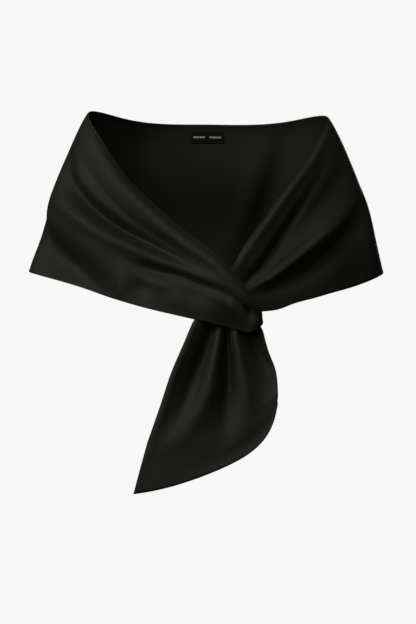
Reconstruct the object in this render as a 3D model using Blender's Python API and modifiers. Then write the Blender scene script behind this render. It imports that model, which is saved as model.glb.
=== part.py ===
"""Evening stole: one strip of doubled satin, worn round the shoulders and closed in front.

The strip is followed from the sewn end of its loop: round the loop, over the left front, round
the back, over the right front, through the loop, and down to the pointed tail.
Every stretch is the same surface, read between two of the stations below.

Frame: metres, +Z up, the front faces -Y. The origin is midway between the tops of the two
shoulders, where the wearer carries the stole. Left and right are as seen from the front.
"""

from collections import namedtuple

import bpy
import numpy as np

MM = 0.001
WALL = 2.0 * MM  # two layers of satin and what is between them, pressed
SEAM_GAP = 0.35 * MM
END_COLUMN = 0.5 * MM
NECKLINE_CROWDING = 1.3  # above 1, rows of faces crowd towards the rolled neckline edge
BOW_PEAK = 0.40  # a section bows out most at this share of the way from neckline to hem
DRAW_AT_NECKLINE = 0.72  # a drawn section leaves the neckline edge nearly straight
DRAW_TOWARDS_HEM = 1.25  # and rounds off close to the hem edge
PROBE = 0.5 * MM  # step of the differences that give a surface its directions

LABEL_WIDTH = 54.0 * MM
LABEL_HEIGHT = 19.5 * MM
LABEL_WALL = 0.8 * MM
LABEL_DROP = 11.0 * MM  # below the neckline edge
LABEL_GAP = 0.5 * MM

CLOTH_COLOUR = (0.006, 0.006, 0.004)
LABEL_COLOUR = (0.006, 0.006, 0.006)

# A station is a section across the strip: its neckline edge, its hem edge, how far it bows out
# between them, and how far its middle is drawn along the strip. All in millimetres.
Station = namedtuple(
    "Station", "name neck_x neck_y neck_z hem_x hem_y hem_z bow draw"
)
STATIONS = [
    Station("loop end", -6, -122, -246, -13, -129, -317, 0, 0),
    Station("loop back", 32, -125, -278, 28, -128, -334, 0, 0),
    Station("turn back", 67, -129, -312, 69, -130, -339, 0, 0),
    Station("turn", 87, -147, -325, 88, -148, -339, 0, 0),
    Station("turn front", 79, -167, -310, 76, -166, -351, 4, 0),
    Station("crossing", 53, -169, -272, 50, -164, -351, 11, 0),
    Station("left front, knot", 22, -158, -236, 13, -157, -341, 13, 0),
    Station("left front, low", -20, -131, -204, -36, -144, -329, 12, 0),
    Station("left front, middle", -83, -95, -151, -103, -120, -313, 10, 0),
    Station("left front, high", -128, -72, -107, -166, -96, -294, 13, 0),
    Station("left front, shoulder", -167, -42, -50, -231, -58, -273, 14, 0),
    Station("left side", -190, 4, -6, -282, 0, -258, 11, 0),
    Station("back, left", -132, 78, -9, -206, 105, -267, 10, 0),
    Station("back, middle", 0, 105, -17, 0, 138, -277, 8, 0),
    Station("back, right", 136, 78, -13, 206, 105, -269, 10, 0),
    Station("right side", 197, 4, -13, 282, 0, -261, 13, 0),
    Station("right front, shoulder", 179, -40, -52, 232, -60, -282, 15, 0),
    Station("right front, high", 156, -68, -89, 200, -90, -291, 13, 0),
    Station("right front, middle", 124, -92, -132, 165, -112, -301, 10, 0),
    Station("right front, low", 88, -115, -182, 133, -127, -310, 10, 0),
    Station("right front, knot", 62, -132, -218, 106, -136, -319, 9, 0),
    Station("entering the loop", 45, -142, -247, 81, -147, -322, 1, 0),
    Station("in the loop, high", 25, -145, -279, 76, -151, -331, 0, 0),
    Station("in the loop, low", 8, -143, -304, 86, -154, -348, 0, 0),
    Station("below the loop", -15, -145, -333, 90, -161, -362, 0, 0),
    Station("tail, high", -30, -149, -365, 96, -164, -385, 2, 0),
    Station("tail, middle", -51, -153, -414, 106, -165, -411, 3, 3),
    Station("tail, wide", -68, -158, -464, 110, -167, -438, 3, 12),
    Station("tail, low", -88, -164, -522, 111, -168, -453, 2, 27),
    Station("tail end", -111, -173, -604, 110, -170, -464, 0, 44),
]

# A stretch is one node: the stations that it runs between, and its columns and rows of faces.
Stretch = namedtuple("Stretch", "name first last columns rows")
STRETCHES = [
    Stretch("over_front", "loop end", "left side", 48, 32),
    Stretch("back", "left side", "right side", 30, 14),
    Stretch("under_front", "right side", "in the loop, high", 28, 24),
    Stretch("tail", "in the loop, high", "tail end", 28, 32),
]

# A fold runs along the strip from one distance to another, measured from the loop's sewn end.
# Its path is given at even steps along it, in shares of the way from the neckline edge to the
# hem. It is at its full lift at the share of its own length called strongest. A lift above nought
# is a ridge off the body, below it a trough. Distances, lift and half widths in millimetres.
Fold = namedtuple(
    "Fold", "name begins ends path lift half_width_at_start half_width_at_end strongest"
)
FOLDS = [
    Fold("left neckline edge turned in", 105, 575, (0, 0), -3, 7, 7, 0.4),
    Fold("left ridge along the neckline", 125, 556, (0.19, 0.16, 0.13, 0.09, 0.05), 11, 7, 24, 0.6),
    Fold("left crease from the shoulder", 165, 562, (0.27, 0.335, 0.385, 0.425, 0.43, 0.3), -29, 10, 18, 0.68),
    Fold("left crease in that ridge", 195, 535, (0.2, 0.245, 0.275, 0.25, 0.19), -4.5, 6, 9, 0.45),
    Fold("left ridge below the crease", 135, 560, (0.24, 0.43, 0.485, 0.52, 0.54), 11, 7, 20, 0.65),
    Fold("left lower crease", 110, 400, (0.5, 0.44, 0.515, 0.55, 0.655, 0.61), -10, 10, 11, 0.55),
    Fold("left hollow over the arm", 362, 584, (1.08, 1, 0.94, 0.88, 0.82, 0.73), -34, 34, 30, 0.56),
    Fold("loop hem drawn in", 122, 265, (1, 1), -4, 20, 26, 0.4),
    Fold("right neckline edge turned in", 1120, 1450, (0, 0), -4, 5, 5, 0.6),
    Fold("right ridge along the neckline", 1150, 1440, (0.04, 0.04, 0.06, 0.07), 8, 8, 12, 0.6),
    Fold("right crease from the shoulder", 1150, 1435, (0.1, 0.17, 0.27, 0.38, 0.49), -12, 14, 9, 0.65),
    Fold("right hollow on the shoulder", 1142, 1400, (0.29, 0.34, 0.39, 0.46), -12, 32, 12, 0.4),
    Fold("right ridge on the shoulder", 1135, 1430, (0.46, 0.54, 0.58, 0.575, 0.49), 9, 15, 8, 0.5),
    Fold("right middle crease", 1235, 1420, (0.52, 0.55, 0.49), -5, 5, 5, 0.5),
    Fold("right hollow over the arm", 1140, 1420, (0.6, 0.73, 0.77, 0.68), -11, 20, 10, 0.4),
    Fold("back hollow below the neckline", 500, 1190, (0.22, 0.3, 0.34, 0.3, 0.22), -11, 66, 66, 0.5),
    Fold("tail left edge", 1468, 1650, (0.03, 0.03, 0.02), 5, 6, 9, 0.35),
    Fold("tail pleat 1, trough", 1450, 1620, (0.28, 0.25, 0.22, 0.15), -19, 10, 19, 0.33),
    Fold("tail pleat 1, ridge", 1450, 1635, (0.37, 0.37, 0.4, 0.34, 0.14), 10, 6, 26, 0.5),
    Fold("tail pleat 2, trough", 1450, 1640, (0.44, 0.5, 0.55, 0.57, 0.55), -22, 8, 23, 0.33),
    Fold("tail pleat 2, ridge", 1450, 1640, (0.51, 0.6, 0.68, 0.72, 0.71), 9, 5, 20, 0.3),
    Fold("tail pleat 3, trough", 1440, 1600, (0.7, 0.85, 0.93, 1), -18, 14, 28, 0.38),
    Fold("tail branch of pleat 1", 1480, 1590, (0.31, 0.285, 0.27), -4, 3, 5, 0.4),
]

# A drape runs the other way, from the neckline edge down to the hem. It starts and ends at shares
# of that way. Its place is a distance along the strip where it starts, and it leans from there.
Drape = namedtuple("Drape", "name place lean start end lift half_width")
DRAPES = [
    Drape("right ridge on the arm", 1132, 45, 0.45, 1.15, 6, 20),
    Drape("tail hollow by its end", 1650, 0, 0.15, 1.05, -4, 18),
    Drape("back, over the left shoulder blade", 620, 60, 0.2, 1.15, -6, 26),
    Drape("back, over the right shoulder blade", 1075, -70, 0.2, 1.15, -6, 24),
    Drape("back, left of the middle", 738, 110, 0.1, 1.1, -5, 26),
    Drape("back, right of the middle", 958, -110, 0.1, 1.1, -5, 22),
    Drape("back, by the right arm", 1006, -140, 0, 1.05, 9, 24),
    Drape("back, by the left arm", 690, 130, 0, 1.05, 7, 28),
]

# A dimple is a round one: its distance along the strip, its share of the way to the hem, its
# lift, and half its length and width.
Dimple = namedtuple("Dimple", "name place share lift half_length half_width")
DIMPLES = [
    Dimple("start of the crease", 532, 0.27, -5, 16, 12),
    Dimple("pucker by the hem", 379, 0.88, 6, 11, 26),
    Dimple("hollow beside it", 347, 0.84, -7, 15, 15),
    Dimple("swell beside that", 310, 0.72, 4, 16, 11),
    Dimple("first lump at the knot", 205, 0.55, 3, 10, 11),
    Dimple("second lump at the knot", 181, 0.55, 3, 10, 11),
    Dimple("spot by the turn", 151, 0.5, -8, 9, 11),
    Dimple("swell by the turn", 138, 0.84, 4.5, 10, 22),
    Dimple("end of the lower crease", 335, 0.6, -5, 13, 8),
    Dimple("hollow before the knot", 243, 0.68, -6, 28, 15),
    Dimple("swell by the knot", 282, 0.84, 3, 18, 12),
]


def names_to_places(stations):
    """Distance along the strip of every station, by name, measured at mid width."""
    middles = np.array(
        [
            [(s.neck_x + s.hem_x) / 2, (s.neck_y + s.hem_y) / 2, (s.neck_z + s.hem_z) / 2]
            for s in stations
        ]
    )
    steps = np.linalg.norm(np.diff(middles, axis=0), axis=1) * MM
    places = np.concatenate([[0.0], np.cumsum(steps)])
    return {station.name: place for station, place in zip(stations, places)}


class Spline:
    """The natural cubic spline through one row of numbers at each knot."""

    def __init__(self, knots, rows):
        self.knots = np.asarray(knots, dtype=float)
        self.rows = np.asarray(rows, dtype=float)
        gaps = np.diff(self.knots)
        steps = np.diff(self.rows, axis=0)
        system = np.eye(len(self.knots))
        bends = np.zeros_like(self.rows)
        for i in range(1, len(self.knots) - 1):
            system[i, i - 1 : i + 2] = gaps[i - 1], 2 * (gaps[i - 1] + gaps[i]), gaps[i]
            bends[i] = 6 * (steps[i] / gaps[i] - steps[i - 1] / gaps[i - 1])
        self.bends = np.linalg.solve(system, bends)

    def at(self, places):
        places = np.asarray(places, dtype=float)
        i = np.clip(np.searchsorted(self.knots, places) - 1, 0, len(self.knots) - 2)
        gap = (self.knots[i + 1] - self.knots[i])[..., None]
        after = (places - self.knots[i])[..., None]
        before = gap - after
        curved = self.bends[i] * before**3 + self.bends[i + 1] * after**3
        straight = (self.rows[i] / gap - self.bends[i] * gap / 6) * before
        straight += (self.rows[i + 1] / gap - self.bends[i + 1] * gap / 6) * after
        return curved / (6 * gap) + straight


PLACES = names_to_places(STATIONS)
SECTIONS = Spline(list(PLACES.values()), np.array([s[1:] for s in STATIONS]) * MM)


def slope(surface, along, across, step_along, step_across):
    """Central difference of a surface function, at each point of the grid."""
    ahead = surface(along + step_along, across + step_across)
    behind = surface(along - step_along, across - step_across)
    return ahead - behind


def unit(vectors):
    return vectors / np.linalg.norm(vectors, axis=-1, keepdims=True)


def outward(surface, along, across):
    """Unit normals of a surface function, on the cloth's right side."""
    return unit(
        np.cross(
            slope(surface, along, across, PROBE, 0.0),
            slope(surface, along, across, 0.0, PROBE),
        )
    )


def ruled_surface(along, across):
    """Straight sections from the neckline edge to the hem edge."""
    section = SECTIONS.at(along)[:, None, :]
    neck, hem = section[..., 0:3], section[..., 3:6]
    return neck + (hem - neck) * across[None, :, None]


def plain_surface(along, across):
    """The strip with its bow and without folds, on a grid of places and shares."""
    section = SECTIONS.at(along)[:, None, :]
    share = np.clip(across, 0.0, 1.0)[None, :, None]
    bowed = swell(share, BOW_PEAK)
    drawn = 4 * share * (1 - share) * (DRAW_AT_NECKLINE + DRAW_TOWARDS_HEM * share**3)
    normals = outward(ruled_surface, along, across)
    forward = unit(np.cross(slope(ruled_surface, along, across, 0.0, PROBE), normals))
    moved = normals * section[..., 6:7] * bowed + forward * section[..., 7:8] * drawn
    return ruled_surface(along, across) + moved


def widths(along):
    """Length of each straight section across the strip."""
    ends = ruled_surface(along, np.array([0.0, 1.0]))
    return np.linalg.norm(ends[:, 1] - ends[:, 0], axis=-1)


def swell(share, peak):
    """Rises from nought to one at the peak and falls back to nought, softly."""
    return np.sin(np.pi * np.clip(share, 0.0, 1.0) ** (np.log(0.5) / np.log(peak)))


def fold_height(along, across):
    """How far the folds, drapes and dimples lift the surface off the body at each point of the grid."""
    width = widths(along)[:, None]
    height = np.zeros((len(along), len(across)))
    for fold in FOLDS:
        share = (along / MM - fold.begins) / (fold.ends - fold.begins)
        done = np.clip(share, 0.0, 1.0)
        knots = np.linspace(0.0, 1.0, len(fold.path))
        path = Spline(knots, np.array(fold.path)[:, None]).at(done)
        widening = (fold.half_width_at_end - fold.half_width_at_start) * done[:, None]
        away = (across - path) * width / ((fold.half_width_at_start + widening) * MM)
        height += fold.lift * MM * swell(share, fold.strongest)[:, None] * np.exp(-(away**2))
    for drape in DRAPES:
        share = (across - drape.start) / (drape.end - drape.start)
        away = (along[:, None] / MM - drape.place - drape.lean * share) / drape.half_width
        height += drape.lift * MM * swell(share, 0.5) * np.exp(-(away**2))
    for dimple in DIMPLES:
        aside = (along[:, None] / MM - dimple.place) / dimple.half_length
        away = (across - dimple.share) * width / (dimple.half_width * MM)
        height += dimple.lift * MM * np.exp(-(aside**2) - away**2)
    return height


def cloth_surface(along, across):
    """The strip with its folds."""
    lift = fold_height(along, across)[..., None]
    return plain_surface(along, across) + outward(plain_surface, along, across) * lift


def material(name, colour, roughness):
    made = bpy.data.materials.new(name)
    made.use_nodes = True
    shader = made.node_tree.nodes["Principled BSDF"]
    shader.inputs["Base Color"].default_value = (*colour, 1.0)
    shader.inputs["Roughness"].default_value = roughness
    shader.inputs["Metallic"].default_value = 0.0
    made.diffuse_color = (*colour, 1.0)
    return made


def shell(name, points, wall, finish, collection):
    """One wall of cloth: the loft through a grid of points, thickened half to each side."""
    columns, rows = points.shape[:2]
    corner = np.arange(columns * rows).reshape(columns, rows)
    faces = np.stack(
        [corner[:-1, :-1], corner[1:, :-1], corner[1:, 1:], corner[:-1, 1:]], axis=-1
    ).reshape(-1, 4)
    mesh = bpy.data.meshes.new(name)
    mesh.from_pydata(points.reshape(-1, 3).tolist(), [], faces.tolist())
    mesh.materials.append(finish)
    made = bpy.data.objects.new(name, mesh)
    collection.objects.link(made)
    thickness = made.modifiers.new("wall", "SOLIDIFY")
    thickness.thickness = wall
    thickness.offset = 0.0
    mesh.shade_smooth()
    return made


def build_stretch(stretch, finish, collection):
    """One stretch of the strip, held half a seam gap back where it meets the next one."""
    first, last = PLACES[stretch.first], PLACES[stretch.last]
    if stretch.first != STATIONS[0].name:
        first += SEAM_GAP / 2
    if stretch.last != STATIONS[-1].name:
        last -= SEAM_GAP / 2
    inner = np.linspace(first + END_COLUMN, last - END_COLUMN, stretch.columns - 1)
    along = np.concatenate([[first], inner, [last]])
    across = np.linspace(0.0, 1.0, stretch.rows + 1) ** NECKLINE_CROWDING
    return shell(stretch.name, cloth_surface(along, across), WALL, finish, collection)


def build_label(finish, collection):
    """The woven label: the back's own points under it, moved in from its inner face."""
    middle = np.array([PLACES["back, middle"]])
    across = np.linspace(LABEL_DROP, LABEL_DROP + LABEL_HEIGHT, 4) / widths(middle)
    drawn_in = np.linalg.norm(slope(plain_surface, middle, across, PROBE, 0.0), axis=-1) / (2 * PROBE)
    half = LABEL_WIDTH / 2 / drawn_in.mean()  # distances are kept at mid width, below the label
    along = middle + np.linspace(-half, half, 9)
    inward = WALL / 2 + LABEL_GAP + LABEL_WALL / 2
    points = cloth_surface(along, across) - outward(cloth_surface, along, across) * inward
    return shell("label", points, LABEL_WALL, finish, collection)


def build_stole():
    for left_over in list(bpy.data.objects):
        bpy.data.objects.remove(left_over, do_unlink=True)
    collection = bpy.data.collections.new("evening_stole")
    bpy.context.scene.collection.children.link(collection)
    satin = material("black satin", CLOTH_COLOUR, 0.5)
    woven = material("black woven label", LABEL_COLOUR, 0.6)
    for stretch in STRETCHES:
        build_stretch(stretch, satin, collection)
    build_label(woven, collection)


build_stole()
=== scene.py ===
import math
import bpy
import numpy as np
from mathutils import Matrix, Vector


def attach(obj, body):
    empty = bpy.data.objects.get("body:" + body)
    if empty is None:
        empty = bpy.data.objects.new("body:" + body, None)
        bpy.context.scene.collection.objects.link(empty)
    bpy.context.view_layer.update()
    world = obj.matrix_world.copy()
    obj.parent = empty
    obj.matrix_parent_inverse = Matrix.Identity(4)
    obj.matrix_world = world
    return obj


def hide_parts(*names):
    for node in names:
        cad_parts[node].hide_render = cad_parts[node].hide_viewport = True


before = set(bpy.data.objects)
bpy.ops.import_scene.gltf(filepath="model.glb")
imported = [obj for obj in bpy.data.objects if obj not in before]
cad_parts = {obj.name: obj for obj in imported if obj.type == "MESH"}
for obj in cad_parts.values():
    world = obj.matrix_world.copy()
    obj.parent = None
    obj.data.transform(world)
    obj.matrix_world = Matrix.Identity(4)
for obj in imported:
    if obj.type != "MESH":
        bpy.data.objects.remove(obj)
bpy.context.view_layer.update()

millimetre = 0.001

view = {
    "distance": 5.0,  # metres in front of the plane through the shoulders
    "height": 0.9984,  # metres of that plane that the picture is tall
    "middle": (0.0032, -0.3227),  # x and z at the middle of the picture
    "sensor": 24.0,  # millimetres
}

lights = {
    # place, aimed at, size in metres, power in watts
    "key light": ((-2.0, -2.4, 3.0), (0.0, 0.0, -0.3), 2.0, 66),
    "top light": ((0.0, -2.25, 3.6), (0.0, 0.0, -0.3), 2.4, 30),
    "front light": ((-0.7, -4.0, 1.6), (0.0, 0.0, -0.3), 2.4, 32),
    "side light": ((-3.9, -1.7, 1.3), (0.0, 0.0, -0.3), 2.0, 78),
    "far side light": ((4.2, -0.8, 1.2), (0.0, 0.0, -0.3), 2.0, 10),
    "back light": ((0.8, 4.2, 1.0), (0.0, 0.0, -0.3), 2.4, 90),
}

world = {"shade": "#FFFFFF", "strength": 0.015}  # the little light that the room throws back

floor = {
    # metres
    "height": -0.90, "radius": 9.0, "curve": 3.0, "wall": 7.0, "hub": 0.01,
    "rings": 20, "sides": 96, "shade": "#F7F7F7", "glow": 1.0,
}


def makeCamera(view):
    # Level, looking along +Y. The lens is the sensor's height times distance over the height seen.
    camera = bpy.data.cameras.new("camera")
    camera.sensor_fit = "VERTICAL"
    camera.sensor_height = view["sensor"]
    camera.lens = view["sensor"] * view["distance"] / view["height"]
    cameraObject = bpy.data.objects.new("camera", camera)
    cameraObject.location = (view["middle"][0], -view["distance"], view["middle"][1])
    cameraObject.rotation_euler = (math.pi / 2, 0, 0)
    bpy.context.scene.collection.objects.link(cameraObject)
    bpy.context.scene.camera = cameraObject


def linear(hexCode):
    # Linear colour of an sRGB hex value.
    values = [int(hexCode[i:i + 2], 16) / 255 for i in (1, 3, 5)]
    return (*[v / 12.92 if v <= 0.04045 else ((v + 0.055) / 1.055) ** 2.4 for v in values], 1.0)


def addNode(tree, kind, settings=None, inputs=None):
    # One node with its settings, and its inputs set to values or linked to other nodes' outputs.
    node = tree.nodes.new(kind)
    for name, value in (settings or {}).items():
        setattr(node, name, value)
    for socket, value in (inputs or {}).items():
        if isinstance(value, bpy.types.NodeSocket):
            tree.links.new(value, node.inputs[socket])
        else:
            node.inputs[socket].default_value = value
    return node


def makeLights(lights):
    # Round soft boxes, each turned so that its face looks at its aim.
    for name, (place, aim, size, power) in lights.items():
        lamp = bpy.data.lights.new(name, "AREA")
        lamp.shape = "DISK"
        lamp.size = size
        lamp.energy = power
        lampObject = bpy.data.objects.new(name, lamp)
        lampObject.location = place
        lampObject.rotation_euler = (Vector(aim) - Vector(place)).to_track_quat("-Z", "Y").to_euler()
        bpy.context.scene.collection.objects.link(lampObject)


def makeWorld(world):
    # An even, dim white room all round.
    studio = bpy.data.worlds.new("studio")
    studio.use_nodes = True
    background = studio.node_tree.nodes["Background"]
    background.inputs["Color"].default_value = linear(world["shade"])
    background.inputs["Strength"].default_value = world["strength"]
    bpy.context.scene.world = studio


def gridMesh(name, points, closedAcross=False):
    # Quads on a grid of points, columns by rows. Where the rows close, the first is capped too.
    columns, rows = points.shape[:2]
    corner = np.arange(columns * rows).reshape(columns, rows)
    if closedAcross:
        corner = np.concatenate([corner, corner[:, :1]], axis=1)
    faces = np.stack([corner[:-1, :-1], corner[1:, :-1], corner[1:, 1:], corner[:-1, 1:]], axis=-1)
    mesh = bpy.data.meshes.new(name)
    cap = [corner[0, :-1].tolist()] if closedAcross else []
    mesh.from_pydata(points.reshape(-1, 3).tolist(), [], faces.reshape(-1, 4).tolist() + cap)
    return mesh


def makeFloor(floor):
    # A disc whose rim turns up in a quarter circle into a wall, all one pale colour.
    turn = np.linspace(0, math.pi / 2, floor["rings"])[1:]
    rim = floor["radius"] + floor["curve"]
    flat, curved = [floor["hub"], floor["radius"]], floor["radius"] + floor["curve"] * np.sin(turn)
    radius = np.concatenate([flat, curved, [rim]])
    top = floor["curve"] + floor["wall"]
    height = np.concatenate([[0, 0], floor["curve"] * (1 - np.cos(turn)), [top]])
    angle = np.linspace(0, 2 * math.pi, floor["sides"], endpoint=False)
    points = np.stack(
        [
            radius[:, None] * np.cos(angle),
            radius[:, None] * np.sin(angle),
            np.broadcast_to(height[:, None] + floor["height"], (len(radius), len(angle))),
        ],
        axis=-1,
    )
    stage = bpy.data.objects.new("floor", gridMesh("floor", points, closedAcross=True))
    stage.data.shade_smooth()
    bpy.context.scene.collection.objects.link(stage)
    # Matt background paper, evenly lit, so it shows one pale shade with no shadow of its own.
    material = bpy.data.materials.new("pale paper backdrop")
    material.use_nodes = True
    tree = material.node_tree
    tree.nodes.clear()
    glow = addNode(tree, "ShaderNodeEmission", inputs={
        "Color": linear(floor["shade"]), "Strength": floor["glow"],
    })
    addNode(tree, "ShaderNodeOutputMaterial", inputs={"Surface": glow.outputs[0]})
    stage.data.materials.append(material)
    stage.visible_diffuse = False  # the lamps light the cloth, the paper doesn't
    stage.visible_glossy = False


makeCamera(view)
makeLights(lights)
makeWorld(world)
makeFloor(floor)
bpy.context.scene.view_settings.view_transform = "Standard"
print("camera, light and floor made")

stole = {
    # millimetres; the strip is one long piece, with its distances measured from the loop's sewn end
    "wall": 1.8,  # doubled satin
    "probe": 0.5,  # step of the differences that give directions along the strip
    "probeShare": 0.0005,  # and the same across it, as a share of the way to the hem
    "bowPeak": 0.40,  # share of the way to the hem where a section bows out most
    "drawAtNeckline": 0.72,  # how the rounded end is spread: at the neckline edge,
    "drawTowardsHem": 1.25,  # and as much more towards the hem by the cube of the share
    "rows": 88,
    "roundPoints": 3,  # points round each long edge
    "seamPuff": 0.35,  # the turned edge is this much thicker to each side
    "seamWidth": 4.0,
    # up to this station, a column of faces every so many millimetres
    "columns": {
        "turn back": 4.0, "left front, low": 2.4, "left side": 3.0, "right side": 5.6,
        "right front, middle": 3.0, "tail, middle": 2.4, "tail end": 3.0,
    },
    # station: neckline edge x y z, hem edge x y z, bow, draw
    "stations": {
        "loop end": (-6, -122, -246, -13, -129, -317, 0, 0),
        "loop back": (32, -125, -278, 28, -128, -334, 0, 0),
        "turn back": (67, -129, -312, 69, -130, -339, 0, 0),
        "turn": (87, -147, -325, 88, -148, -339, 0, 0),
        "turn front": (79, -167, -310, 76, -166, -351, 4, 0),
        "crossing": (53, -169, -272, 50, -164, -351, 11, 0),
        "left front, knot": (22, -158, -236, 13, -157, -341, 13, 0),
        "left front, low": (-20, -131, -204, -36, -144, -329, 12, 0),
        "left front, middle": (-83, -95, -151, -103, -120, -313, 10, 0),
        "left front, high": (-128, -72, -107, -166, -96, -294, 13, 0),
        "left front, shoulder": (-167, -42, -50, -231, -58, -273, 14, 0),
        "left side": (-190, 4, -6, -282, 0, -258, 11, 0),
        "back, left": (-132, 78, -9, -206, 105, -267, 10, 0),
        "back, middle": (0, 105, -17, 0, 138, -277, 8, 0),
        "back, right": (136, 78, -13, 206, 105, -269, 10, 0),
        "right side": (197, 4, -13, 282, 0, -261, 13, 0),
        "right front, shoulder": (179, -40, -52, 232, -60, -282, 15, 0),
        "right front, high": (156, -68, -89, 200, -90, -291, 13, 0),
        "right front, middle": (124, -92, -132, 165, -112, -301, 10, 0),
        "right front, low": (88, -115, -182, 133, -127, -310, 10, 0),
        "right front, knot": (62, -132, -218, 106, -136, -319, 9, 0),
        "entering the loop": (45, -142, -247, 81, -147, -322, 1, 0),
        "in the loop, high": (25, -145, -279, 76, -151, -331, 0, 0),
        "in the loop, low": (8, -143, -304, 86, -154, -348, 0, 0),
        "below the loop": (-15, -145, -333, 90, -161, -362, 0, 0),
        "tail, high": (-30, -149, -365, 96, -164, -385, 2, 0),
        "tail, middle": (-51, -153, -414, 106, -165, -411, 3, 3),
        "tail, wide": (-68, -158, -464, 110, -167, -438, 3, 12),
        "tail, low": (-88, -164, -522, 111, -168, -453, 2, 27),
        "tail end": (-111, -173, -604, 110, -170, -464, 0, 44),
    },
    # fold along the strip: where it begins and ends, its shares of the way to the hem at even steps,
    # lift off the body, half width at its start and end, where it is strongest
    "folds": {
        "left neckline edge turned in": (105, 575, (0.00, 0.00), -3, 7, 7, 0.4),
        "left ridge along the neckline": (125, 556, (0.19, 0.16, 0.13, 0.09, 0.05), 11, 7, 24, 0.6),
        "left crease from the shoulder": (
            165, 562, (0.27, 0.335, 0.385, 0.425, 0.43, 0.30), -29, 10, 18, 0.68,
        ),
        "left crease in that ridge": (195, 535, (0.20, 0.245, 0.275, 0.25, 0.19), -4.5, 6, 9, 0.45),
        "left ridge below the crease": (135, 560, (0.24, 0.43, 0.485, 0.52, 0.54), 11, 7, 20, 0.65),
        "left lower crease": (110, 400, (0.50, 0.44, 0.515, 0.55, 0.655, 0.61), -10, 10, 11, 0.55),
        "left hollow over the arm": (362, 584, (1.08, 1.00, 0.94, 0.88, 0.82, 0.73), -34, 34, 30, 0.56),
        "loop hem drawn in": (122, 265, (1.00, 1.00), -4, 20, 26, 0.4),
        "right neckline edge turned in": (1120, 1450, (0.00, 0.00), -4, 5, 5, 0.6),
        "right ridge along the neckline": (1150, 1440, (0.04, 0.04, 0.06, 0.07), 8, 8, 12, 0.6),
        "right crease from the shoulder": (1150, 1435, (0.10, 0.17, 0.27, 0.38, 0.49), -12, 14, 9, 0.65),
        "right hollow on the shoulder": (1142, 1400, (0.29, 0.34, 0.39, 0.46), -12, 32, 12, 0.4),
        "right ridge on the shoulder": (1135, 1430, (0.46, 0.54, 0.58, 0.575, 0.49), 9, 15, 8, 0.5),
        "right middle crease": (1235, 1420, (0.52, 0.55, 0.49), -5, 5, 5, 0.5),
        "right hollow over the arm": (1140, 1420, (0.60, 0.73, 0.77, 0.68), -11, 20, 10, 0.4),
        "back hollow below the neckline": (500, 1190, (0.22, 0.30, 0.34, 0.30, 0.22), -11, 66, 66, 0.5),
        "tail left edge": (1468, 1650, (0.03, 0.03, 0.02), 5, 6, 9, 0.35),
        "tail pleat 1, trough": (1450, 1620, (0.28, 0.25, 0.22, 0.15), -19, 10, 19, 0.33),
        "tail pleat 1, ridge": (1450, 1635, (0.37, 0.37, 0.40, 0.34, 0.14), 10, 6, 26, 0.5),
        "tail pleat 2, trough": (1450, 1640, (0.44, 0.50, 0.55, 0.57, 0.55), -22, 8, 23, 0.33),
        "tail pleat 2, ridge": (1450, 1640, (0.51, 0.60, 0.68, 0.72, 0.71), 9, 5, 20, 0.3),
        "tail pleat 3, trough": (1440, 1600, (0.70, 0.85, 0.93, 1.00), -18, 14, 28, 0.38),
        "tail branch of pleat 1": (1480, 1590, (0.31, 0.285, 0.27), -4, 3, 5, 0.4),
    },
    # drape from the neckline down: distance along the strip, lean, the shares of the way to the hem
    # where it starts and ends, lift, half width
    "drapes": {
        "right ridge on the arm": (1132, 45, 0.45, 1.15, 6, 20),
        "tail hollow by its end": (1650, 0, 0.15, 1.05, -4, 18),
        "back, over the left shoulder blade": (620, 60, 0.20, 1.15, -6, 26),
        "back, over the right shoulder blade": (1075, -70, 0.20, 1.15, -6, 24),
        "back, left of the middle": (738, 110, 0.10, 1.10, -5, 26),
        "back, right of the middle": (958, -110, 0.10, 1.10, -5, 22),
        "back, by the right arm": (1006, -140, 0.00, 1.05, 9, 24),
        "back, by the left arm": (690, 130, 0.00, 1.05, 7, 28),
    },
    # dimple: distance along the strip, share of the way to the hem, lift, half length, half width
    "dimples": {
        "start of the crease": (532, 0.27, -5, 16, 12),
        "pucker by the hem": (379, 0.88, 6, 11, 26),
        "hollow beside it": (347, 0.84, -7, 15, 15),
        "swell beside that": (310, 0.72, 4, 16, 11),
        "first lump at the knot": (205, 0.55, 3, 10, 11),
        "second lump at the knot": (181, 0.55, 3, 10, 11),
        "spot by the turn": (151, 0.50, -8, 9, 11),
        "swell by the turn": (138, 0.84, 4.5, 10, 22),
        "end of the lower crease": (335, 0.60, -5, 13, 8),
        "hollow before the knot": (243, 0.68, -6, 28, 15),
        "swell by the knot": (282, 0.84, 3, 18, 12),
    },
}


def naturalSpline(knots, rows):
    # The natural cubic spline through one row of numbers at each knot, as a function of place: the
    # second derivatives solve one band of equations, and are nought at both ends.
    knots, rows = np.asarray(knots, float), np.asarray(rows, float)
    gaps, steps = np.diff(knots), np.diff(rows, axis=0)
    system, bends = np.eye(len(knots)), np.zeros_like(rows)
    for i in range(1, len(knots) - 1):
        system[i, i - 1:i + 2] = gaps[i - 1], 2 * (gaps[i - 1] + gaps[i]), gaps[i]
        bends[i] = 6 * (steps[i] / gaps[i] - steps[i - 1] / gaps[i - 1])
    bends = np.linalg.solve(system, bends)

    def at(placesWanted):
        placesWanted = np.asarray(placesWanted, float)
        i = np.clip(np.searchsorted(knots, placesWanted) - 1, 0, len(knots) - 2)
        gap = (knots[i + 1] - knots[i])[..., None]
        after = (placesWanted - knots[i])[..., None]
        before = gap - after
        curved = bends[i] * before**3 + bends[i + 1] * after**3
        straight = (rows[i] / gap - bends[i] * gap / 6) * before
        straight += (rows[i + 1] / gap - bends[i + 1] * gap / 6) * after
        return curved / (6 * gap) + straight

    return at


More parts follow.
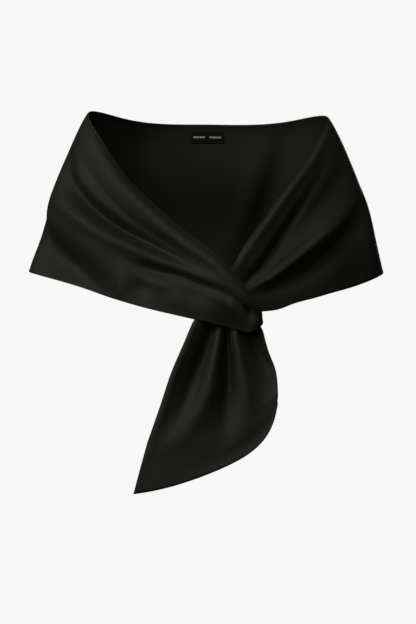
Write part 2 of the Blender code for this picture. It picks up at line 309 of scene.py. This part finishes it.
def placesAlong(stations):
    # Each station's distance along the strip at mid width.
    rows = np.array(list(stations.values()), float)
    middles = (rows[:, 0:3] + rows[:, 3:6]) / 2
    steps = np.linalg.norm(np.diff(middles, axis=0), axis=1)
    return dict(zip(stations, np.concatenate([[0.0], np.cumsum(steps)])))


places = placesAlong(stole["stations"])
sectionAt = naturalSpline(list(places.values()), list(stole["stations"].values()))


def unit(vectors):
    # Each vector over its own length.
    return vectors / np.linalg.norm(vectors, axis=-1, keepdims=True)


def slope(surface, along, across, stepAlong, stepAcross):
    # Central difference of a surface function of distance along and share across.
    ahead = surface(along + stepAlong, across + stepAcross)
    return ahead - surface(along - stepAlong, across - stepAcross)


def outward(surface, along, across):
    # Unit normals on the cloth's right side: the slope along crossed with the slope across.
    slopeAlong = slope(surface, along, across, stole["probe"], 0)
    slopeAcross = slope(surface, along, across, 0, stole["probeShare"])
    return unit(np.cross(slopeAlong, slopeAcross))


def swell(share, peak):
    # Rises softly from nought to one at the peak and falls back: the sine of a power of the share.
    return np.sin(math.pi * np.clip(share, 0, 1) ** (math.log(0.5) / math.log(peak)))


def ruledSurface(along, across):
    # Straight sections from the neckline edge to the hem edge.
    section = sectionAt(along)[:, None, :]
    return section[..., 0:3] + (section[..., 3:6] - section[..., 0:3]) * across[None, :, None]


def plainSurface(along, across):
    # The ruled surface, bowed off the body, and drawn along the strip where its end is rounded.
    section = sectionAt(along)[:, None, :]
    share = np.clip(across, 0, 1)[None, :, None]
    normals = outward(ruledSurface, along, across)
    forward = unit(np.cross(slope(ruledSurface, along, across, 0, stole["probeShare"]), normals))
    drawn = 4 * share * (1 - share) * (stole["drawAtNeckline"] + stole["drawTowardsHem"] * share**3)
    bowed = swell(share, stole["bowPeak"])
    moved = normals * section[..., 6:7] * bowed + forward * section[..., 7:8] * drawn
    return ruledSurface(along, across) + moved


def widthsAt(along):
    # Length of each straight section across the strip.
    ends = ruledSurface(along, np.array([0.0, 1.0]))
    return np.linalg.norm(ends[:, 1] - ends[:, 0], axis=-1)


def foldHeight(along, across):
    # The folds and drapes added up, each a bell across its path times a swell along it, and the
    # dimples, each a bell both ways.
    width = widthsAt(along)[:, None]
    height = np.zeros((len(along), len(across)))
    for begins, ends, shares, lift, halfStart, halfEnd, strongest in stole["folds"].values():
        share = (along - begins) / (ends - begins)
        done = np.clip(share, 0, 1)
        path = naturalSpline(np.linspace(0, 1, len(shares)), np.array(shares)[:, None])(done)
        halfWidth = halfStart + (halfEnd - halfStart) * done[:, None]
        away = (across - path) * width / halfWidth
        height += lift * swell(share, strongest)[:, None] * np.exp(-(away**2))
    for place, lean, start, end, lift, halfWidth in stole["drapes"].values():
        share = (across - start) / (end - start)
        away = (along[:, None] - place - lean * share) / halfWidth
        height += lift * swell(share, 0.5) * np.exp(-(away**2))
    for place, share, lift, halfLength, halfWidth in stole["dimples"].values():
        away = ((along[:, None] - place) / halfLength) ** 2 + ((across - share) * width / halfWidth) ** 2
        height += lift * np.exp(-away)
    return height


def clothSurface(along, across):
    # The middle of the cloth: the plain surface, moved along its normals by the height of the folds.
    height = foldHeight(along, across)[..., None]
    return plainSurface(along, across) + outward(plainSurface, along, across) * height


def columnPlaces():
    # Distances of the columns along the strip, finer where the cloth is gathered.
    runs, start = [], 0.0
    for name, step in stole["columns"].items():
        end = places[name]
        runs.append(np.linspace(start, end, round((end - start) / step), endpoint=False))
        start = end
    return np.concatenate(runs + [[start]])


def wallLoop(middle, normals, half, roundPoints):
    # Closed sections of a wall: down its right side, round the hem edge in a half circle, up its
    # wrong side and round the neckline edge in another.
    turns = np.linspace(0, math.pi, roundPoints + 2)[1:-1]
    sine, cosine = np.sin(turns)[None, :, None], np.cos(turns)[None, :, None]
    outDown, outUp = unit(middle[:, -1:] - middle[:, -2:-1]), unit(middle[:, :1] - middle[:, 1:2])
    hemRound = middle[:, -1:] + half[:, -1:, None] * (normals[:, -1:] * cosine + outDown * sine)
    neckRound = middle[:, :1] + half[:, :1, None] * (-normals[:, :1] * cosine + outUp * sine)
    face, wrong = middle + normals * half[..., None], middle - normals * half[..., None]
    return np.concatenate([face, hemRound, wrong[:, ::-1], neckRound], axis=1)


def wallMesh(name, loop, rows, roundPoints, uvAlong, uvAcross):
    # The wall's mesh: its loops joined along the strip, and both ends closed by quads across the wall.
    columns, ring = loop.shape[:2]
    corner = np.arange(columns * ring).reshape(columns, ring)
    closed = np.concatenate([corner, corner[:, :1]], axis=1)
    side = np.stack([closed[:-1, :-1], closed[1:, :-1], closed[1:, 1:], closed[:-1, 1:]], axis=-1)
    # An end cap pairs each point of the right side with the one behind it on the wrong side.
    face = np.arange(rows + 1)
    wrong = 2 * rows + 1 + roundPoints - face
    caps = []
    for column, turned in ((0, False), (columns - 1, True)):
        quads = corner[column][np.stack([face[1:], wrong[1:], wrong[:-1], face[:-1]], axis=-1)]
        hemFan = corner[column][rows:rows + roundPoints + 2]
        neckFan = np.concatenate([corner[column][2 * rows + 1 + roundPoints:], corner[column][:1]])
        polygons = [list(q) for q in quads] + [list(hemFan), list(neckFan)]
        caps += [p[::-1] if turned else p for p in polygons]
    faces = side.reshape(-1, 4).tolist() + [[int(i) for i in p] for p in caps]
    mesh = bpy.data.meshes.new(name)
    mesh.from_pydata(loop.reshape(-1, 3).tolist(), [], faces)
    # UV in metres on the cloth: distance along the strip and distance down from the neckline edge.
    uv = np.zeros((columns, ring, 2))
    uv[..., 0] = uvAlong[:, None]
    uv[..., 1] = np.concatenate([
        uvAcross, np.repeat(uvAcross[:, -1:], roundPoints, axis=1),
        uvAcross[:, ::-1], np.repeat(uvAcross[:, :1], roundPoints, axis=1),
    ], axis=1)
    corners = np.zeros(len(mesh.loops), dtype=np.int32)
    mesh.loops.foreach_get("vertex_index", corners)
    layer = mesh.uv_layers.new(name="cloth")
    layer.data.foreach_set("uv", (uv.reshape(-1, 2)[corners] * millimetre).astype(np.float32).ravel())
    mesh.validate()
    return mesh


def finishPiece(name, mesh, material):
    # One smooth object at the origin, riding on the stole's only body.
    mesh.materials.append(material)
    mesh.shade_smooth()
    piece = bpy.data.objects.new(name, mesh)
    bpy.context.scene.collection.objects.link(piece)
    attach(piece, "root")
    return piece


satin = {
    "darkShade": "#111208", "lightShade": "#16170B",  # of the dye, which takes a little unevenly
    "clouds": 14.0, "cloudDetail": 3.0,  # of those shades, to a metre
    "roughness": 0.72, "unevenness": 0.05, "gloss": 0.25,
    "threadEvery": 1.1,  # millimetres; the real threads are ten times finer and wouldn't show
    "floatLength": 12, "threadDetail": 2.0,  # how many times as long as wide the threads show
    "relief": 0.10, "reliefDepth": 0.2,  # millimetres
}


def satinMaterial(satin):
    # Polyester satin, warp faced and piece dyed black. Its long floats run along the strip, so it
    # is smooth and shows broad soft highlights on the folds, without a sharp shine.
    material = bpy.data.materials.new("black polyester satin")
    material.use_nodes = True
    tree = material.node_tree
    tree.nodes.clear()
    place = addNode(tree, "ShaderNodeUVMap", {"uv_map": "cloth"}).outputs[0]
    perMetre = 1 / (satin["threadEvery"] * millimetre)
    stretched = addNode(tree, "ShaderNodeMapping", inputs={
        "Vector": place, "Scale": (perMetre / satin["floatLength"], perMetre, 1.0),
    })
    threads = addNode(tree, "ShaderNodeTexNoise", inputs={
        "Vector": stretched.outputs[0], "Scale": 1.0, "Detail": satin["threadDetail"],
    })
    cloudy = addNode(tree, "ShaderNodeTexNoise", inputs={
        "Vector": place, "Scale": satin["clouds"], "Detail": satin["cloudDetail"],
    })
    shine = addNode(tree, "ShaderNodeMapRange", inputs={
        "Value": threads.outputs[0], "To Min": satin["roughness"] - satin["unevenness"],
        "To Max": satin["roughness"] + satin["unevenness"],
    })
    shade = addNode(tree, "ShaderNodeMix", {"data_type": "RGBA"}, {
        "Factor": cloudy.outputs[0], 6: linear(satin["darkShade"]), 7: linear(satin["lightShade"]),
    })
    relief = addNode(tree, "ShaderNodeBump", inputs={
        "Strength": satin["relief"], "Distance": satin["reliefDepth"] * millimetre,
        "Height": threads.outputs[0],
    })
    shader = addNode(tree, "ShaderNodeBsdfPrincipled", inputs={
        "Base Color": shade.outputs[2], "Roughness": shine.outputs[0],
        "Specular IOR Level": satin["gloss"], "Normal": relief.outputs[0],
    })
    addNode(tree, "ShaderNodeOutputMaterial", inputs={"Surface": shader.outputs[0]})
    return material


def makeStole(material):
    # Half the wall's thickness grows towards both long edges by a bell, where the cloth is turned in.
    along = columnPlaces()
    across = np.linspace(0, 1, stole["rows"] + 1)
    middle = clothSurface(along, across)
    normals = outward(clothSurface, along, across)
    width = widthsAt(along)[:, None]
    fromEdge = np.minimum(across, 1 - across) * width
    half = stole["wall"] / 2 + stole["seamPuff"] * np.exp(-((fromEdge / stole["seamWidth"]) ** 2))
    loop = wallLoop(middle, normals, half, stole["roundPoints"]) * millimetre
    mesh = wallMesh("stoleCloth", loop, stole["rows"], stole["roundPoints"], along, across * width)
    piece = finishPiece("stoleCloth", mesh, material)
    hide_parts("over_front", "back", "under_front", "tail")
    print("stole made:", len(mesh.vertices), "points")


makeStole(satinMaterial(satin))

label = {
    # millimetres; its top edge hangs this far below the neckline, and its middle lies a little aside
    "width": 54.0, "height": 19.5, "wall": 0.7, "drop": 10.0, "aside": 1.8, "gap": 0.15,
    "columns": 60, "rows": 22, "roundPoints": 3,
    "ground": "#0B0C08", "pattern": "#C9C9C1", "roughness": 0.85, "gloss": 0.15,
    # the woven row of upright dashes: how far it reaches from the middle, the bare middle, its
    # height, and one dash every so many millimetres with this share of it filled
    "reach": 22.5, "bare": 3.5, "tall": 2.8, "every": 2.6, "filled": 0.5,
}

sewing = {
    # millimetres: how far inside the label's edge, a stitch every so many, its length, thickness and lift
    "inset": 1.4, "every": 3.2, "stitch": 2.3, "thread": 0.35, "lift": 0.3,
    "firstRing": 0.06, "lastRing": 0.94, "rings": 6, "sides": 6,
    "shade": "#1A1A17", "roughness": 0.55,
}


def labelMaterial(label):
    # Damask woven label: fine matt polyester with one row of plain upright dashes in pale weft.
    material = bpy.data.materials.new("black damask label")
    material.use_nodes = True
    tree = material.node_tree
    tree.nodes.clear()

    def calculate(operation, first, second=0.0):
        return addNode(tree, "ShaderNodeMath", {"operation": operation}, {0: first, 1: second}).outputs[0]

    place = addNode(tree, "ShaderNodeUVMap", {"uv_map": "cloth"})
    split = addNode(tree, "ShaderNodeSeparateXYZ", inputs={"Vector": place.outputs[0]})
    aside = calculate("ABSOLUTE", split.outputs[0])
    rowAt = label["height"] / 2 * millimetre
    fromRow = calculate("ABSOLUTE", calculate("SUBTRACT", split.outputs[1], rowAt))
    along = calculate("FRACT", calculate("DIVIDE", aside, label["every"] * millimetre))
    row = calculate("MULTIPLY", calculate("LESS_THAN", aside, label["reach"] * millimetre),
                    calculate("GREATER_THAN", aside, label["bare"] * millimetre))
    dash = calculate("MULTIPLY", calculate("LESS_THAN", fromRow, label["tall"] / 2 * millimetre),
                     calculate("LESS_THAN", along, label["filled"]))
    shade = addNode(tree, "ShaderNodeMix", {"data_type": "RGBA"}, {
        "Factor": calculate("MULTIPLY", row, dash), 6: linear(label["ground"]), 7: linear(label["pattern"]),
    })
    shader = addNode(tree, "ShaderNodeBsdfPrincipled", inputs={
        "Base Color": shade.outputs[2], "Roughness": label["roughness"],
        "Specular IOR Level": label["gloss"],
    })
    addNode(tree, "ShaderNodeOutputMaterial", inputs={"Surface": shader.outputs[0]})
    return material


def threadMaterial(sewing):
    # Spun polyester sewing thread, dyed black: a little brighter than the matt label under it.
    material = bpy.data.materials.new("black polyester thread")
    material.use_nodes = True
    shader = material.node_tree.nodes["Principled BSDF"]
    shader.inputs["Base Color"].default_value = linear(sewing["shade"])
    shader.inputs["Roughness"].default_value = sewing["roughness"]
    return material


def labelPlaces(label, aside, down):
    # Millimetres from the label's middle and down from its top edge, as distances along the strip
    # and shares across it. Distances are kept at mid width, so the cloth's own stretch divides them.
    centre = np.array([places["back, middle"]])
    across = (label["drop"] + np.asarray(down)) / widthsAt(centre)
    run = slope(plainSurface, centre, across, stole["probe"], 0)
    stretch = np.linalg.norm(run, axis=-1).mean() / (2 * stole["probe"])
    return centre + (np.asarray(aside) + label["aside"]) / stretch, across


def makeLabel(label, material):
    # The back's own surface under the label, moved inwards past its wall and a thin gap.
    aside = np.linspace(-label["width"] / 2, label["width"] / 2, label["columns"] + 1)
    down = np.linspace(0, label["height"], label["rows"] + 1)
    along, across = labelPlaces(label, aside, down)
    normals = outward(clothSurface, along, across)
    inward = stole["wall"] / 2 + label["gap"] + label["wall"] / 2
    middle = clothSurface(along, across) - normals * inward
    half = np.full(middle.shape[:2], label["wall"] / 2)
    loop = wallLoop(middle, normals, half, label["roundPoints"]) * millimetre
    downs = np.broadcast_to(down, middle.shape[:2])
    mesh = wallMesh("wovenLabel", loop, label["rows"], label["roundPoints"], aside, downs)
    piece = finishPiece("wovenLabel", mesh, material)
    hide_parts("label")
    print("label made:", len(mesh.vertices), "points")


def stitchMesh(name, starts, ends, normals, sewing):
    # Each stitch is a tube along an arc from start to end: it rises by the sine of the share done
    # times the lift, and its radius is the root of that sine, so that it dives in at both ends.
    done = np.linspace(sewing["firstRing"], sewing["lastRing"], sewing["rings"])[None, :, None]
    rise = np.sin(math.pi * done)
    centres = starts[:, None] + (ends - starts)[:, None] * done + normals[:, None] * sewing["lift"] * rise
    side = unit(np.cross(ends - starts, normals))[:, None, None]
    angle = np.linspace(0, 2 * math.pi, sewing["sides"], endpoint=False)[None, None, :, None]
    ring = side * np.cos(angle) + normals[:, None, None] * np.sin(angle)
    points = centres[:, :, None] + ring * (sewing["thread"] / 2 * np.sqrt(rise))[..., None]
    count, rings, sides = points.shape[:3]
    corner = np.arange(count * rings * sides).reshape(count, rings, sides)
    closed = np.concatenate([corner, corner[:, :, :1]], axis=2)
    here, after = closed[:, :-1], closed[:, 1:]
    quads = np.stack([here[:, :, :-1], after[:, :, :-1], after[:, :, 1:], here[:, :, 1:]], axis=-1)
    caps = corner[:, 0].tolist() + corner[:, -1, ::-1].tolist()
    mesh = bpy.data.meshes.new(name)
    placed = points.reshape(-1, 3) * millimetre
    mesh.from_pydata(placed.tolist(), [], quads.reshape(-1, 4).tolist() + caps)
    return mesh


def makeLabelStitches(label, sewing, material):
    # A running stitch just inside the label's edge, along its top and bottom and down its sides.
    def faceOf(aside, down):
        # Points on the label's inner face and the directions out of it.
        along, across = labelPlaces(label, aside, down)
        normals = -outward(clothSurface, along, across)
        outBy = stole["wall"] / 2 + label["gap"] + label["wall"]
        return clothSurface(along, across) + normals * outBy, normals

    def spread(reach):
        # Middles of the stitches of one row, at even steps from its start.
        return np.arange(-reach + half, reach - half, sewing["every"])

    half = sewing["stitch"] / 2
    halfWidth, halfHeight = label["width"] / 2 - sewing["inset"], label["height"] / 2 - sewing["inset"]
    edges = [-halfHeight + label["height"] / 2, halfHeight + label["height"] / 2]
    middles = spread(halfWidth)
    starts, normals = faceOf(middles - half, edges)
    ends, _ = faceOf(middles + half, edges)
    upMiddles = spread(halfHeight) + label["height"] / 2
    upStarts, upNormals = faceOf([-halfWidth, halfWidth], upMiddles - half)
    upEnds, _ = faceOf([-halfWidth, halfWidth], upMiddles + half)
    rows = [np.concatenate([a.reshape(-1, 3), b.reshape(-1, 3)]) for a, b in
            ((starts, upStarts), (ends, upEnds), (normals, upNormals))]
    finishPiece("labelStitches", stitchMesh("labelStitches", *rows, sewing), material)
    print("label sewn on:", len(rows[0]), "stitches")


makeLabel(label, labelMaterial(label))
makeLabelStitches(label, sewing, threadMaterial(sewing))
